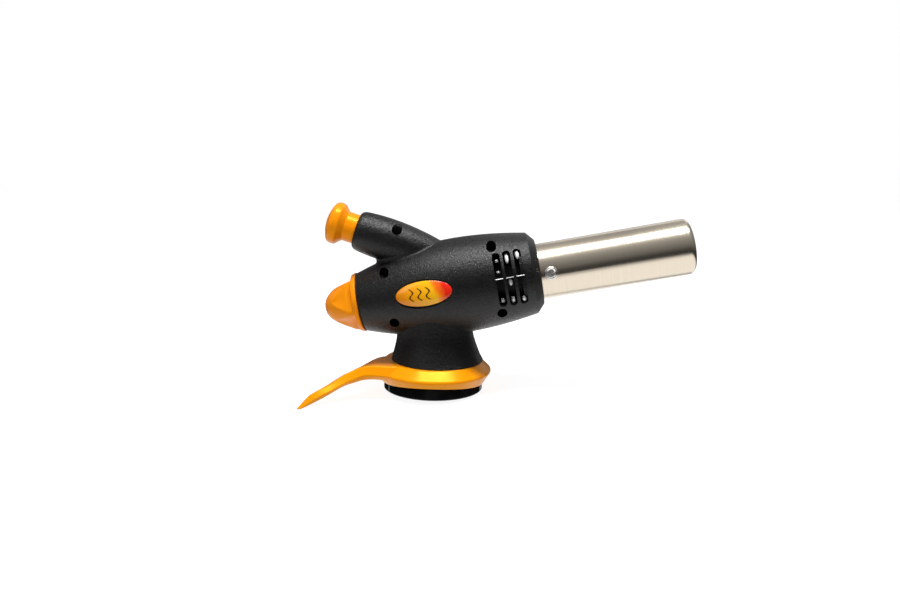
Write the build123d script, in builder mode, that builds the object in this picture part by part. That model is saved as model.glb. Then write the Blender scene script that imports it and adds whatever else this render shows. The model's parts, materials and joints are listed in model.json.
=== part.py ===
from build123d import *
from math import cos, radians, sin
import os

# A hand torch head that plugs onto a butane cartridge. Millimetres, +Z up.
# The origin is the centre of the cartridge socket's mouth, +X is the flame's side,
# and the housing splits on the XZ plane into a right (-Y) and a left (+Y) shell.

# ---------------------------------------------------------------- driving dimensions
BODY_TILT = 11.5            # the body and flame tube rise this much towards the muzzle
BODY_HEIGHT = 52.5          # body axis above the socket's mouth, over the socket's centre
BODY_REAR = -38.7           # stations along the body axis, from over the socket's centre
BODY_FRONT = 54.7
BODY_MAX_RADIUS = 24.8
EDGE_BREAK = 0.5
BEYOND = 40.0               # reaches past every outside surface from the axis it is drawn on
RIM_RADIUS = 16.8
WALL = 2.0

POD_DROP = 16.8             # the igniter pod falls this much towards the muzzle
POD_MOUTH = (-40.4, 0, 82.4)
POD_RADIUS = 11.15
POD_MOUTH_RADIUS = 8.6
POD_END = 44.0
POD_LIP = -0.6
POD_WEB = 1.8

TUBE_RADIUS = 14.3
TUBE_WALL = 0.8
TUBE_START = 49.7
TUBE_END = 132.0
TUBE_SCREW_STATION = 59.8
TUBE_SCREW_ANGLE = 178.1    # measured from +Y, rising

SOCKET_RADIUS = 22.6
BASE_RADIUS = 26.0
PLATE_BOTTOM = 6.2
PLATE_TOP = 8.4
HUB_WALL = 2.5
HUB_OVERLAP = 4.0           # the hub runs this far up into the neck
HUB_RADIUS = 20.5
NECK_FOOT = 15.6            # underside of the neck's flare, which traps the lock ring

RING_CREASE_RADIUS = 30.8
RING_TOP = 15.3
RING_CREASE_ROUND = 1.4
RING_TOP_ROUND = 0.7
LEVER_AZIMUTH = 20.0        # the lever's root points this far round from -X, towards -Y
LOCK_TRAVEL = (-20.0, 15.0)

BUTTON_RADIUS = 10.8
STEM_RADIUS = 7.65

KNOB_START = -39.1
KNOB_TIP = -58.4

SCREW_HEAD_RADIUS = 2.3
SCREW_RADIUS = 1.1
COUNTERBORE_RADIUS = 2.55
COUNTERBORE_FLOOR = 5.0     # distance of the screw seats from the split plane
BOSS_RADIUS = 3.4

tilt = radians(BODY_TILT)
drop = radians(POD_DROP)
body_direction = Vector(cos(tilt), 0, sin(tilt))
pod_direction = Vector(cos(drop), 0, -sin(drop))

# Profile planes: local x runs along the axis, local y points up and away from it.
body_profile = Plane(origin=(0, 0, BODY_HEIGHT), x_dir=body_direction, z_dir=(0, -1, 0))
pod_profile = Plane(origin=POD_MOUTH, x_dir=pod_direction, z_dir=(0, -1, 0))
body_axis = Axis((0, 0, BODY_HEIGHT), body_direction)
pod_axis = Axis(POD_MOUTH, pod_direction)


def body_station(length):
    """The plane across the body axis: local x is +Y, local y points up."""
    point = Vector(0, 0, BODY_HEIGHT) + body_direction * length
    return Plane(origin=point, x_dir=(0, 1, 0), z_dir=body_direction)


def pod_station(length):
    """The plane across the igniter pod's axis: local x is +Y, local y points up."""
    point = Vector(*POD_MOUTH) + pod_direction * length
    return Plane(origin=point, x_dir=(0, 1, 0), z_dir=pod_direction)


def finish(builder, name):
    """Label one piece and write it to its own file."""
    builder.part.label = name
    export_step(builder.part, f"parts/{name}.step")


os.makedirs("parts", exist_ok=True)

# ---------------------------------------------------------------- housing envelopes
body_outline = [
    (BODY_REAR + EDGE_BREAK, 15.5),
    (-29.0, 18.35),
    (-14.0, 22.0),
    (0.0, 24.2),
    (12.0, BODY_MAX_RADIUS),
    (30.0, 24.0),
    (43.0, 22.4),
    (50.9, 21.1),
]
pod_outline = [(4.6, 10.7), (13.0, POD_RADIUS), (24.0, 10.85), (35.0, 9.65), (POD_END, 7.95)]
neck_outline = [(26.0, -3.4), (24.1, 0.0), (22.1, 5.4), (20.25, 12.4), (19.75, 19.0), (19.9, 28.0)]
NECK_LEAN = 3.4
NECK_OFFSET = 1.3


def body_solid(inset, rear, front):
    """The body of revolution, its skin moved inwards by inset."""
    outline = [(length, radius - inset) for length, radius in body_outline]
    with BuildPart() as solid:
        with BuildSketch(body_profile):
            with BuildLine():
                Line((rear, 0), (rear, outline[0][1] - EDGE_BREAK))
                Line((rear, outline[0][1] - EDGE_BREAK), outline[0])
                Spline(*outline)
                Line(outline[-1], (front, RIM_RADIUS - inset))
                Line((front, RIM_RADIUS - inset), (front, 0))
                Line((front, 0), (rear, 0))
            make_face()
        revolve(axis=body_axis)
    return solid.part


def pod_solid(inset, mouth):
    """The igniter pod, an egg-shaped barrel that runs down into the body."""
    outline = [(length, radius - inset) for length, radius in pod_outline]
    with BuildPart() as solid:
        with BuildSketch(pod_profile):
            with BuildLine():
                Line((mouth, 0), (mouth, POD_MOUTH_RADIUS - inset))
                Spline((mouth, POD_MOUTH_RADIUS - inset), outline[0], tangents=((0.4, 1), (1, 0.12)))
                Spline(*outline)
                Line(outline[-1], (POD_END, 0))
                Line((POD_END, 0), (mouth, 0))
            make_face()
        revolve(axis=pod_axis)
    return solid.part


def neck_solid(inset, foot):
    """The flared neck, which leans back a little, cut level at its foot."""
    lean = radians(NECK_LEAN)
    profile = Plane(
        origin=(NECK_OFFSET, 0, NECK_FOOT), x_dir=(cos(lean), 0, sin(lean)), z_dir=(0, -1, 0)
    )
    outline = [(radius - inset, height) for radius, height in neck_outline]
    with BuildPart() as solid:
        with BuildSketch(profile):
            with BuildLine():
                Line((0, outline[0][1]), outline[0])
                Spline(*outline)
                Line(outline[-1], (0, outline[-1][1]))
                Line((0, outline[-1][1]), (0, outline[0][1]))
            make_face()
        revolve(axis=Axis(profile.origin, profile.y_dir))
        split(bisect_by=Plane.XY.offset(foot), keep=Keep.TOP)
    return solid.part


with BuildPart() as housing_skin:
    add(body_solid(0, BODY_REAR, BODY_FRONT))
    add(pod_solid(0, POD_LIP))
    # A small web fills the crotch where the pod runs into the body.
    fillet(housing_skin.edges().filter_by(lambda edge: abs((edge @ 0.5).Y) > 5), POD_WEB)
    add(neck_solid(0, NECK_FOOT))
    with BuildSketch(Plane.XY.offset(PLATE_TOP)):
        Circle(HUB_RADIUS)
    extrude(amount=NECK_FOOT + HUB_OVERLAP - PLATE_TOP)

with BuildPart() as cavity:
    add(body_solid(WALL, BODY_REAR + WALL, TUBE_START))
    add(pod_solid(WALL, 2.0))
    add(neck_solid(WALL, NECK_FOOT + WALL))
    with BuildSketch(Plane.XY.offset(PLATE_TOP)):
        Circle(HUB_RADIUS - HUB_WALL)
    extrude(amount=NECK_FOOT + HUB_OVERLAP - PLATE_TOP)
    # Nothing hollow reaches past the front wall that carries the flame tube.
    with BuildSketch(body_station(TUBE_START)):
        Circle(BEYOND)
    extrude(amount=BEYOND, mode=Mode.SUBTRACT)

# ---------------------------------------------------------------- places inside
# Screw bosses run across the split, named by (x, z) on the split plane.
boss_places = [(-25.05, 62.34), (-19.05, 37.58), (28.34, 77.29), (34.99, 44.55), (-19.31, 83.72)]
hub_screw_places = [(10.6, 10.6), (-10.6, 10.6), (-10.6, -10.6), (10.6, -10.6)]
HUB_SCREW_TOP = 17.0

VALVE_RADIUS = 7.2
VALVE_REAR = -13.0
VALVE_FRONT = 22.0
INLET_RADIUS = 4.6
INLET_BOTTOM = 39.0
PIPE_RADIUS = 3.0
PIPE_TOP = 43.0
CONNECTOR_TOP = 11.0
CONNECTOR_RADIUS = 6.9
CONNECTOR_FLANGE = 8.6
CONNECTOR_BOTTOM = 3.4
GAS_WAY_RADIUS = 1.2
STEM_SEAL_RADIUS = 3.4
MIXER_RADIUS = 6.5
MIXER_START = 27.0
MIXER_END = 78.0
FLANGE_RADIUS = 18.6
FLANGE_REAR = 46.7
PIEZO_SIZE = 9.0
PIEZO_START = 23.6
PIEZO_END = 49.6
ELECTRODE_HEIGHT = 10.2
ELECTRODE_RADIUS = 0.7
INSULATOR_RADIUS = 2.0
INSULATOR_START = 44.5
INSULATOR_LENGTH = 30.0
ELECTRODE_LENGTH = 41.0
LEAD_RADIUS = 1.1
LEAD_STRAIGHT = 6.8         # the lead runs on in line with the pod before it bends
GLAND_ROOM = 10.0
JET_ROOM = 4.0
IGNITER_ROOM_RADIUS = 8.7
LEAD_ROOM_START = 8.0
LEAD_ROOM = (4.0, 7.0)
RIB_THICKNESS = 1.6
rib_stations = (-9.0, 16.0, 27.5)
POD_RIB_STATION = 33.0
NECK_RIB_HEIGHT = 26.0
AIR_WAY_RADIUS = 15.4
HUB_BOSS_RADIUS = 3.8
HUB_PILOT_RADIUS = 1.25

# The high-tension lead leaves the igniter in line with the pod and meets the insulator.
piezo_exit = Vector(*POD_MOUTH) + pod_direction * PIEZO_END
lead_corner = piezo_exit + pod_direction * LEAD_STRAIGHT
lead_end = body_station(INSULATOR_START).from_local_coords(Vector(0, ELECTRODE_HEIGHT, 0))
lead_turn = (lead_corner - piezo_exit).get_angle(lead_end - lead_corner)
LEAD_BEND = 0.45 * LEAD_STRAIGHT / sin(radians(lead_turn / 2)) * cos(radians(lead_turn / 2))

with BuildPart() as ignition_lead:
    with BuildLine() as lead_path:
        FilletPolyline(piezo_exit, lead_corner, lead_end, radius=LEAD_BEND)
    with BuildSketch(pod_station(PIEZO_END)):
        Circle(LEAD_RADIUS)
    sweep(path=lead_path.wires()[0])

# What the ribs make room for: valve, gas pipe, igniter, lead and mixing tube.
with BuildPart() as rib_clearance:
    with BuildSketch(body_station(VALVE_REAR - GLAND_ROOM)):
        Circle(VALVE_RADIUS)
    extrude(amount=VALVE_FRONT + JET_ROOM - VALVE_REAR + GLAND_ROOM)
    with BuildSketch(body_station(MIXER_START - 2)):
        Circle(MIXER_RADIUS)
    extrude(amount=BEYOND)
    with BuildSketch(Plane.XY.offset(PLATE_TOP)):
        Circle(PIPE_RADIUS)
    extrude(amount=BODY_HEIGHT - PLATE_TOP)
    with BuildSketch(Plane.XY.offset(INLET_BOTTOM)):
        Circle(INLET_RADIUS)
    extrude(amount=BODY_HEIGHT - INLET_BOTTOM)
    with BuildSketch(pod_station(0)):
        Circle(IGNITER_ROOM_RADIUS)
    extrude(amount=PIEZO_START)
    with BuildSketch(pod_station(PIEZO_START)):
        Rectangle(PIEZO_SIZE, PIEZO_SIZE)
    extrude(amount=PIEZO_END - PIEZO_START)
    with BuildSketch(body_station(LEAD_ROOM_START)):
        with Locations((0, ELECTRODE_HEIGHT + 1)):
            Rectangle(*LEAD_ROOM)
    extrude(amount=BEYOND)
    with BuildSketch(body_station(FLANGE_REAR)):
        Circle(FLANGE_RADIUS)
    extrude(amount=10)

with BuildPart() as ribs:
    for rib_station in rib_stations:
        with BuildSketch(body_station(rib_station)):
            Circle(BEYOND)
        extrude(amount=RIB_THICKNESS)
    with BuildSketch(body_station(FLANGE_REAR - RIB_THICKNESS)):
        Circle(BEYOND)
        Circle(AIR_WAY_RADIUS, mode=Mode.SUBTRACT)
    extrude(amount=RIB_THICKNESS)
    with BuildSketch(pod_station(POD_RIB_STATION)):
        Circle(20)
    extrude(amount=RIB_THICKNESS)
    with BuildSketch(Plane.XY.offset(NECK_RIB_HEIGHT)):
        Circle(20)
    extrude(amount=RIB_THICKNESS)
    add(cavity.part, mode=Mode.INTERSECT)
    add(rib_clearance.part, mode=Mode.SUBTRACT)

with BuildPart() as bosses:
    with BuildSketch(Plane.XZ):
        with Locations(*boss_places):
            Circle(BOSS_RADIUS)
    extrude(amount=BEYOND, both=True)
    with BuildSketch(Plane.XY.offset(PLATE_TOP)):
        with Locations(*hub_screw_places):
            Circle(HUB_BOSS_RADIUS)
    extrude(amount=HUB_SCREW_TOP + 1.5 - PLATE_TOP)
    add(housing_skin.part, mode=Mode.INTERSECT)

# ---------------------------------------------------------------- vents and badge
VENT_WIDTH = 3.8
VENT_END = 4.2              # degrees taken by a slot's half-round end
VENT_DEPTH_RADIUS = 19.0
vent_columns = [(34.1, -28.1, 40.6), (39.3, -30.0, 42.7), (44.6, -31.2, 44.2)]
VENT_BRIDGE_ANGLE = 8.4
BRIDGE_START = 31.0
BRIDGE_END = 48.0
BRIDGE_RADIUS = 23.4
BRIDGE_DEPTH = 5.0
BRIDGE_HEIGHT = 0.9
BRIDGE_SINK = 0.15
BADGE_LENGTH = 28.2
BADGE_HEIGHT = 13.3
BADGE_STATION = -3.8
BADGE_ANGLE = 5.5


def side_angle(rise, side):
    """Angle from +Y about the body axis, for a rise above the side (-1 right, +1 left)."""
    return 180 - rise if side < 0 else rise


def vent_cutter(side):
    """Three columns of round-ended slots that run round one flank of the body."""
    with BuildPart() as slots:
        for station, low, high in vent_columns:
            start, end = sorted((side_angle(low, side), side_angle(high, side)))
            first = Vector(BEYOND, 0).rotate(Axis.Z, start + VENT_END)
            last = Vector(BEYOND, 0).rotate(Axis.Z, end - VENT_END)
            with BuildSketch(body_station(station - VENT_WIDTH / 2)):
                with BuildLine():
                    Line((0, 0), first)
                    RadiusArc(first, last, -BEYOND)
                    Line(last, (0, 0))
                make_face()
                Circle(VENT_DEPTH_RADIUS, mode=Mode.SUBTRACT)
            extrude(amount=VENT_WIDTH)
            for angle in (start + VENT_END, end - VENT_END):
                across = body_station(station)
                outward = across.x_dir * cos(radians(angle)) + across.y_dir * sin(radians(angle))
                foot = across.origin + outward * VENT_DEPTH_RADIUS
                with BuildSketch(Plane(origin=foot, z_dir=outward)):
                    Circle(VENT_WIDTH / 2)
                extrude(amount=BEYOND)
    return slots.part


def vent_bridge(side):
    """A thin bar that crosses the three vent columns inside the wall."""
    angle = radians(side_angle(VENT_BRIDGE_ANGLE, side))
    plane = body_station(BRIDGE_START)
    outward = plane.x_dir * cos(angle) + plane.y_dir * sin(angle)
    bar_plane = Plane(origin=plane.origin, x_dir=outward, z_dir=body_direction)
    with BuildPart() as bar:
        with BuildSketch(bar_plane):
            with Locations((BRIDGE_RADIUS, 0)):
                Rectangle(BRIDGE_DEPTH, BRIDGE_HEIGHT)
        extrude(amount=BRIDGE_END - BRIDGE_START)
        add(body_solid(BRIDGE_SINK, BODY_REAR, BODY_FRONT), mode=Mode.INTERSECT)
    return bar.part


def badge_prism(margin):
    """An oval column that stands on the badge's place on the right flank."""
    place = body_station(BADGE_STATION)
    angle = radians(side_angle(BADGE_ANGLE, -1))
    outward = place.x_dir * cos(angle) + place.y_dir * sin(angle)
    with BuildPart() as prism:
        with BuildSketch(Plane(origin=place.origin, x_dir=body_direction, z_dir=outward)):
            Ellipse(BADGE_LENGTH / 2 + margin, BADGE_HEIGHT / 2 + margin)
        extrude(amount=BEYOND)
    return prism.part


BADGE_RECESS = 0.8
BADGE_SINK = 0.15
BADGE_GAP = 0.45
with BuildPart() as badge:
    add(badge_prism(0))
    add(body_solid(BADGE_SINK, BODY_REAR, BODY_FRONT), mode=Mode.INTERSECT)
    add(body_solid(BADGE_RECESS, BODY_REAR, BODY_FRONT), mode=Mode.SUBTRACT)

with BuildPart() as badge_pocket:
    add(badge_prism(BADGE_GAP))
    add(body_solid(BADGE_RECESS, BODY_REAR, BODY_FRONT), mode=Mode.SUBTRACT)

# ---------------------------------------------------------------- housing shells
STEM_CLEARANCE = 0.25
SPINDLE_HOLE_RADIUS = 3.3
END_WALL_CUT = 6.0
TUBE_SEAT = 0.7
SCREW_CLEARANCE = 0.2
SCREW_BITE = 6.0            # how far the thread runs into the left shell
SCREW_HEAD_HEIGHT = 1.6
RECESS_LENGTH = 2.6
RECESS_WIDTH = 0.6
RECESS_DEPTH = 0.9
with BuildPart() as housing:
    add(housing_skin.part)
    add(cavity.part, mode=Mode.SUBTRACT)
    add(ribs.part)
    add(bosses.part)
    # The pod's mouth, the spindle's hole, and the collar that holds the flame tube.
    with BuildSketch(pod_station(POD_LIP - 1)):
        Circle(STEM_RADIUS + STEM_CLEARANCE)
    extrude(amount=END_WALL_CUT, mode=Mode.SUBTRACT)
    with BuildSketch(body_station(BODY_REAR - 1)):
        Circle(SPINDLE_HOLE_RADIUS)
    extrude(amount=END_WALL_CUT, mode=Mode.SUBTRACT)
    with BuildSketch(body_station(TUBE_START - TUBE_SEAT)):
        Circle(TUBE_RADIUS)
    extrude(amount=BODY_FRONT + 3 - TUBE_START, mode=Mode.SUBTRACT)
    with BuildSketch(Plane.XY.offset(PLATE_TOP)):
        with Locations(*hub_screw_places):
            Circle(HUB_PILOT_RADIUS)
    extrude(amount=HUB_SCREW_TOP - PLATE_TOP, mode=Mode.SUBTRACT)
    for flank in (-1, 1):
        add(vent_cutter(flank), mode=Mode.SUBTRACT)
        add(vent_bridge(flank))
    add(badge_pocket.part, mode=Mode.SUBTRACT)

with BuildPart() as housing_right:
    add(housing.part)
    split(bisect_by=Plane.XZ, keep=Keep.TOP)
    with BuildSketch(Plane.XZ):
        with Locations(*boss_places):
            Circle(SCREW_RADIUS + SCREW_CLEARANCE)
    extrude(amount=COUNTERBORE_FLOOR, mode=Mode.SUBTRACT)
    with BuildSketch(Plane.XZ.offset(COUNTERBORE_FLOOR)):
        with Locations(*boss_places):
            Circle(COUNTERBORE_RADIUS)
    extrude(amount=BEYOND, mode=Mode.SUBTRACT)
finish(housing_right, "housing_right")

with BuildPart() as housing_left:
    add(housing.part)
    split(bisect_by=Plane.XZ, keep=Keep.BOTTOM)
    with BuildSketch(Plane.XZ):
        with Locations(*boss_places):
            Circle(SCREW_RADIUS)
    extrude(amount=-SCREW_BITE, mode=Mode.SUBTRACT)
finish(housing_left, "housing_left")

with BuildPart() as housing_screws:
    with BuildSketch(Plane.XZ.offset(COUNTERBORE_FLOOR)):
        with Locations(*boss_places):
            Circle(SCREW_HEAD_RADIUS)
    extrude(amount=SCREW_HEAD_HEIGHT)
    fillet(housing_screws.edges().group_by(Axis.Y)[0], 0.6)
    with BuildSketch(Plane.XZ.offset(COUNTERBORE_FLOOR + SCREW_HEAD_HEIGHT)):
        with Locations(*boss_places):
            Rectangle(RECESS_LENGTH, RECESS_WIDTH)
            Rectangle(RECESS_WIDTH, RECESS_LENGTH)
    extrude(amount=-RECESS_DEPTH, mode=Mode.SUBTRACT)
    with BuildSketch(Plane.XZ.offset(COUNTERBORE_FLOOR)):
        with Locations(*boss_places):
            Circle(SCREW_RADIUS)
    extrude(amount=-(COUNTERBORE_FLOOR + SCREW_BITE - EDGE_BREAK))
finish(housing_screws, "housing_screws")
finish(badge, "badge")

# ---------------------------------------------------------------- flame tube and burner
MUZZLE_RADIUS = 12.8
MUZZLE_CURL = 2.6
SPIGOT_END = 65.0
MOUNT_HUB_LENGTH = 5.0
MIXER_WALL = 1.2
AIR_HOLE_STATION = 34.0
SPIGOT_RADIUS = TUBE_RADIUS - TUBE_WALL
BURNER_START = 70.0
BURNER_DISC = 77.5
BURNER_END = 81.5
BURNER_RADIUS = 12.3
TUBE_SCREW_HEAD = 3.3
TUBE_SCREW_HEIGHT = 1.8
TUBE_SCREW_SHANK = 1.5
TUBE_SCREW_LENGTH = 4.2
tube_screw_angles = [TUBE_SCREW_ANGLE, TUBE_SCREW_ANGLE + 180]


def radial_plane(station, angle, distance):
    """A plane that faces outwards from the body axis, at a distance from it."""
    across = body_station(station)
    outward = across.x_dir * cos(radians(angle)) + across.y_dir * sin(radians(angle))
    return Plane(origin=across.origin + outward * distance, x_dir=body_direction, z_dir=outward)


with BuildPart() as flame_tube:
    with BuildSketch(body_profile):
        with BuildLine():
            Line((TUBE_START, SPIGOT_RADIUS), (TUBE_START, TUBE_RADIUS))
            Line((TUBE_START, TUBE_RADIUS), (TUBE_END - MUZZLE_CURL, TUBE_RADIUS))
            RadiusArc(
                (TUBE_END - MUZZLE_CURL, TUBE_RADIUS), (TUBE_END, MUZZLE_RADIUS), MUZZLE_CURL + 0.4
            )
            Line((TUBE_END, MUZZLE_RADIUS), (TUBE_END - TUBE_WALL, MUZZLE_RADIUS - 0.35))
            RadiusArc(
                (TUBE_END - TUBE_WALL, MUZZLE_RADIUS - 0.35),
                (TUBE_END - MUZZLE_CURL, SPIGOT_RADIUS),
                -(MUZZLE_CURL - TUBE_WALL + 0.4),
            )
            Line((TUBE_END - MUZZLE_CURL, SPIGOT_RADIUS), (TUBE_START, SPIGOT_RADIUS))
        make_face()
    revolve(axis=body_axis)
    for screw_angle in tube_screw_angles:
        with BuildSketch(radial_plane(TUBE_SCREW_STATION, screw_angle, 10)):
            Circle(TUBE_SCREW_SHANK + 0.1)
        extrude(amount=8, mode=Mode.SUBTRACT)
finish(flame_tube, "flame_tube")

with BuildPart() as flame_tube_screws:
    for screw_angle in tube_screw_angles:
        seat = radial_plane(TUBE_SCREW_STATION, screw_angle, TUBE_RADIUS - 0.1)
        with BuildSketch(seat):
            Circle(TUBE_SCREW_HEAD)
        extrude(amount=TUBE_SCREW_HEIGHT)
        fillet(flame_tube_screws.edges(Select.LAST).group_by(Axis(seat.origin, seat.z_dir))[-1], 1.1)
        with BuildSketch(seat.offset(TUBE_SCREW_HEIGHT)):
            Rectangle(3.4, 0.8)
            Rectangle(0.8, 3.4)
        extrude(amount=-1.0, mode=Mode.SUBTRACT)
        with BuildSketch(seat):
            Circle(TUBE_SCREW_SHANK)
        extrude(amount=-TUBE_SCREW_LENGTH)
    add(flame_tube.part, mode=Mode.SUBTRACT)
finish(flame_tube_screws, "flame_tube_screws")

with BuildPart() as burner_mount:
    with BuildSketch(body_station(FLANGE_REAR)):
        Circle(FLANGE_RADIUS - 0.2)
    extrude(amount=TUBE_START - FLANGE_REAR)
    with BuildSketch(body_station(TUBE_START)):
        Circle(SPIGOT_RADIUS)
    extrude(amount=SPIGOT_END - TUBE_START)
    with BuildSketch(body_station(FLANGE_REAR - MOUNT_HUB_LENGTH)):
        Circle(8.0)
    extrude(amount=MOUNT_HUB_LENGTH)
    with BuildSketch(body_station(FLANGE_REAR - MOUNT_HUB_LENGTH)):
        Circle(MIXER_RADIUS)
    extrude(amount=30, mode=Mode.SUBTRACT)
    with BuildSketch(body_station(FLANGE_REAR)):
        with PolarLocations(ELECTRODE_HEIGHT, 6, start_angle=30):
            Circle(1.9)
        with Locations((0, ELECTRODE_HEIGHT)):
            Circle(INSULATOR_RADIUS)
    extrude(amount=30, mode=Mode.SUBTRACT)
    for screw_angle in tube_screw_angles:
        with BuildSketch(radial_plane(TUBE_SCREW_STATION, screw_angle, 9.9)):
            Circle(TUBE_SCREW_SHANK)
        extrude(amount=8, mode=Mode.SUBTRACT)
finish(burner_mount, "burner_mount")

with BuildPart() as mixing_tube:
    with BuildSketch(body_station(MIXER_START)):
        Circle(MIXER_RADIUS)
        Circle(MIXER_RADIUS - MIXER_WALL, mode=Mode.SUBTRACT)
    extrude(amount=MIXER_END - MIXER_START)
    for hole_angle in (0, 90, 180, 270):
        with BuildSketch(radial_plane(AIR_HOLE_STATION, hole_angle, 0)):
            SlotCenterToCenter(4.0, 4.4)
        extrude(amount=10, mode=Mode.SUBTRACT)
finish(mixing_tube, "mixing_tube")

with BuildPart() as burner_head:
    with BuildSketch(body_profile):
        with BuildLine():
            Polyline(
                (BURNER_START, MIXER_RADIUS),
                (BURNER_START, 7.6),
                (BURNER_START + 3.5, 7.6),
                (BURNER_DISC, BURNER_RADIUS),
                (BURNER_END, BURNER_RADIUS),
                (BURNER_END, 0),
                (MIXER_END, 0),
                (MIXER_END, MIXER_RADIUS),
                close=True,
            )
        make_face()
    revolve(axis=body_axis)
    with BuildSketch(body_station(BURNER_END)):
        Circle(3.0)
        with PolarLocations(4.9, 8):
            Circle(0.8)
    extrude(amount=-8, mode=Mode.SUBTRACT)
    with BuildSketch(body_station(BURNER_START - 1)):
        with PolarLocations(10.2, 12, start_angle=15):
            Circle(1.0)
        with Locations((0, ELECTRODE_HEIGHT)):
            Circle(2.5)
    extrude(amount=20, mode=Mode.SUBTRACT)
finish(burner_head, "burner_head")

COLLAR_START = 33.4
COLLAR_RADIUS = 15.0
COLLAR_WALL = 0.6
COLLAR_NOTCH = (21.0, 8.0, 3.4)
with BuildPart() as air_collar:
    with BuildSketch(body_station(COLLAR_START)):
        Circle(COLLAR_RADIUS)
        Circle(COLLAR_RADIUS - COLLAR_WALL, mode=Mode.SUBTRACT)
    extrude(amount=FLANGE_REAR - COLLAR_START)
    # The lower front screw boss passes through a notch in the collar's rear edge.
    with BuildSketch(body_station(COLLAR_START)):
        with Locations((0, -COLLAR_RADIUS)):
            Rectangle(COLLAR_NOTCH[0], COLLAR_NOTCH[1])
    extrude(amount=COLLAR_NOTCH[2], mode=Mode.SUBTRACT)
finish(air_collar, "air_collar")

# ---------------------------------------------------------------- ignition
with BuildPart() as electrode_insulator:
    with BuildSketch(body_station(INSULATOR_START)):
        with Locations((0, ELECTRODE_HEIGHT)):
            Circle(INSULATOR_RADIUS)
            Circle(ELECTRODE_RADIUS, mode=Mode.SUBTRACT)
    extrude(amount=INSULATOR_LENGTH)
finish(electrode_insulator, "electrode_insulator")

with BuildPart() as electrode:
    with BuildSketch(body_station(INSULATOR_START)):
        with Locations((0, ELECTRODE_HEIGHT)):
            Circle(ELECTRODE_RADIUS)
    extrude(amount=ELECTRODE_LENGTH)
finish(electrode, "electrode")
finish(ignition_lead, "ignition_lead")

with BuildPart() as piezo_unit:
    with BuildSketch(pod_station(PIEZO_START)):
        RectangleRounded(PIEZO_SIZE - 0.1, PIEZO_SIZE - 0.1, 1.2)
    extrude(amount=PIEZO_END - PIEZO_START)
    with BuildSketch(pod_station(PIEZO_START)):
        Circle(2.5)
    extrude(amount=14, mode=Mode.SUBTRACT)
finish(piezo_unit, "piezo_unit")

STEM_END = 6.2              # the flange behind the mouth's wall stops here
SPRING_SEAT = 3.5
SPRING_CUP_RADIUS = 4.3
PLUNGER_RADIUS = 2.4
PLUNGER_START = -4.0
BUTTON_TIP = -16.6
with BuildPart() as igniter_button:
    with BuildSketch(pod_profile):
        with BuildLine():
            ThreePointArc((BUTTON_TIP, 0), (-16.1, 4.6), (-14.7, 8.6))
            RadiusArc((-14.7, 8.6), (-12.4, BUTTON_RADIUS), 3.0)
            Line((-12.4, BUTTON_RADIUS), (-10.6, BUTTON_RADIUS))
            RadiusArc((-10.6, BUTTON_RADIUS), (-8.9, 9.8), 2.2)
            Line((-8.9, 9.8), (-7.0, 8.0))
            RadiusArc((-7.0, 8.0), (-6.2, STEM_RADIUS), -1.4)
            Polyline(
                (-6.2, STEM_RADIUS),
                (STEM_END - 2.0, STEM_RADIUS),
                (STEM_END - 2.0, 8.5),
                (STEM_END, 8.5),
                (STEM_END, SPRING_CUP_RADIUS),
                (SPRING_SEAT, SPRING_CUP_RADIUS),
                (SPRING_SEAT, PLUNGER_RADIUS),
                (PLUNGER_START, PLUNGER_RADIUS),
                (PLUNGER_START, 0),
                (BUTTON_TIP, 0),
            )
        make_face()
    revolve(axis=pod_axis)
finish(igniter_button, "igniter_button")

with BuildPart() as piezo_plunger:
    with BuildSketch(pod_station(PLUNGER_START)):
        Circle(PLUNGER_RADIUS)
    extrude(amount=PIEZO_START + 5 - PLUNGER_START)
    chamfer(piezo_plunger.edges().group_by(Axis(POD_MOUTH, pod_direction))[-1], 0.5)
finish(piezo_plunger, "piezo_plunger")

SPRING_RADIUS = 3.3
SPRING_WIRE = 0.35
spring_length = PIEZO_START - SPRING_SEAT - 2 * SPRING_WIRE - 0.1
with BuildPart() as spring_coil:
    with BuildLine() as coil_path:
        Helix(pitch=spring_length / 8, height=spring_length, radius=SPRING_RADIUS)
    with BuildSketch(Plane(origin=coil_path.line @ 0, z_dir=coil_path.line % 0)):
        Circle(SPRING_WIRE)
    sweep()
with BuildPart() as igniter_spring:
    with Locations(pod_station(SPRING_SEAT + SPRING_WIRE + 0.05).location):
        add(spring_coil.part)
finish(igniter_spring, "igniter_spring")

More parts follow.
